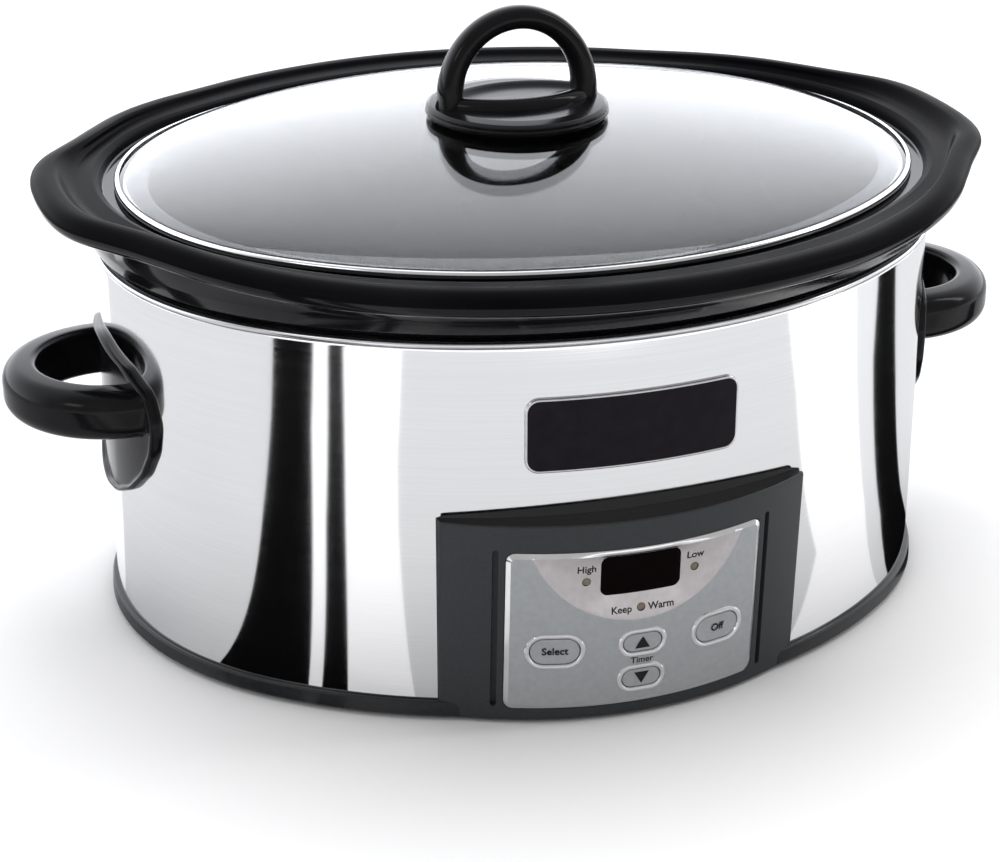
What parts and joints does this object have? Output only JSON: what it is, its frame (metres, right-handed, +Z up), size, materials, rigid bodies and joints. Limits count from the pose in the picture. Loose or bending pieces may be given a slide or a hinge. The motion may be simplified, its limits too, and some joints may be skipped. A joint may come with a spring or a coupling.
{
  "type": "slow cooker",
  "caption": "Oval programmable slow cooker with polished steel body, lift-out black stoneware crock, domed glass lid, loop handles and push-button panel.",
  "frame": {"origin": "centre of the oval on the surface the feet stand on", "axes": "+X along the long axis through the right handle, -Y out of the control panel, +Z up"},
  "size_m": [0.422, 0.3158, 0.239],
  "materials": {
    "polished_steel": "polished",
    "aluminised_steel": "satin",
    "heater_foil": "dull",
    "fuse_ceramic": "matt",
    "sensor_metal": "satin",
    "base_plastic": "satin",
    "plated_steel": "zinc plated",
    "foot_rubber": "matt",
    "screw_steel": "plated",
    "black_plastic": "gloss",
    "badge_enamel": "gloss",
    "bushing_plastic": "matt",
    "charcoal_plastic": "satin",
    "silver_plastic": "satin",
    "display_lens": "gloss",
    "module_plastic": "matt",
    "light_lens": "gloss",
    "board_laminate": "satin",
    "switch_plastic": "matt",
    "parts_plastic": "satin",
    "wire_silicone": "satin",
    "button_plastic": "satin",
    "black_glaze": "gloss",
    "lid_glass": "clear",
    "rim_steel": "polished",
    "washer_silicone": "matt"
  },
  "bodies": {
    "cooker": {"outer_wrap": "polished_steel", "heating_well": "aluminised_steel", "heater_band": "heater_foil", "thermal_fuse": "fuse_ceramic", "temperature_sensor": "sensor_metal", "base_ring": "base_plastic", "bottom_plate": "plated_steel", "rubber_feet": "foot_rubber", "base_screws": "screw_steel", "well_post": "screw_steel", "well_bolt": "screw_steel", "well_nut": "screw_steel", "handle_left": "black_plastic", "handle_right": "black_plastic", "handle_screws": "screw_steel", "badge": "badge_enamel", "cord_bushing": "bushing_plastic", "control_housing": "charcoal_plastic", "housing_screws": "screw_steel", "faceplate": "silver_plastic", "display_window": "display_lens", "display_module": "module_plastic", "indicator_lights": "light_lens", "control_board": "board_laminate", "tact_switches": "switch_plastic", "power_board": "board_laminate", "power_parts": "parts_plastic", "wiring": "wire_silicone"},
    "crock": {"crock": "black_glaze"},
    "lid": {"lid_glass": "lid_glass", "lid_rim": "rim_steel", "lid_knob": "black_plastic", "knob_washer": "washer_silicone", "knob_screw": "screw_steel"},
    "button_select": {"button_select": "button_plastic"},
    "button_off": {"button_off": "button_plastic"},
    "button_up": {"button_up": "button_plastic"},
    "button_down": {"button_down": "button_plastic"}
  },
  "joints": [
    {"name": "crock_lift", "type": "slide", "parent": "cooker", "child": "crock", "axis": [0, 0, 1], "range_m": [0, 0.16]},
    {"name": "lid_lift", "type": "slide", "parent": "crock", "child": "lid", "axis": [0, 0, 1], "range_m": [0, 0.12]},
    {"name": "select_press", "type": "slide", "parent": "cooker", "child": "button_select", "axis": [0.2317, 0.9713, 0.0531], "range_m": [0, 0.0006], "stiffness_N_per_m": 600},
    {"name": "off_press", "type": "slide", "parent": "cooker", "child": "button_off", "axis": [-0.2317, 0.9713, 0.0531], "range_m": [0, 0.0006], "stiffness_N_per_m": 600},
    {"name": "up_press", "type": "slide", "parent": "cooker", "child": "button_up", "axis": [-0.0072, 0.9985, 0.0546], "range_m": [0, 0.0006], "stiffness_N_per_m": 600},
    {"name": "down_press", "type": "slide", "parent": "cooker", "child": "button_down", "axis": [-0.0072, 0.9985, 0.0546], "range_m": [0, 0.0006], "stiffness_N_per_m": 600}
  ]
}
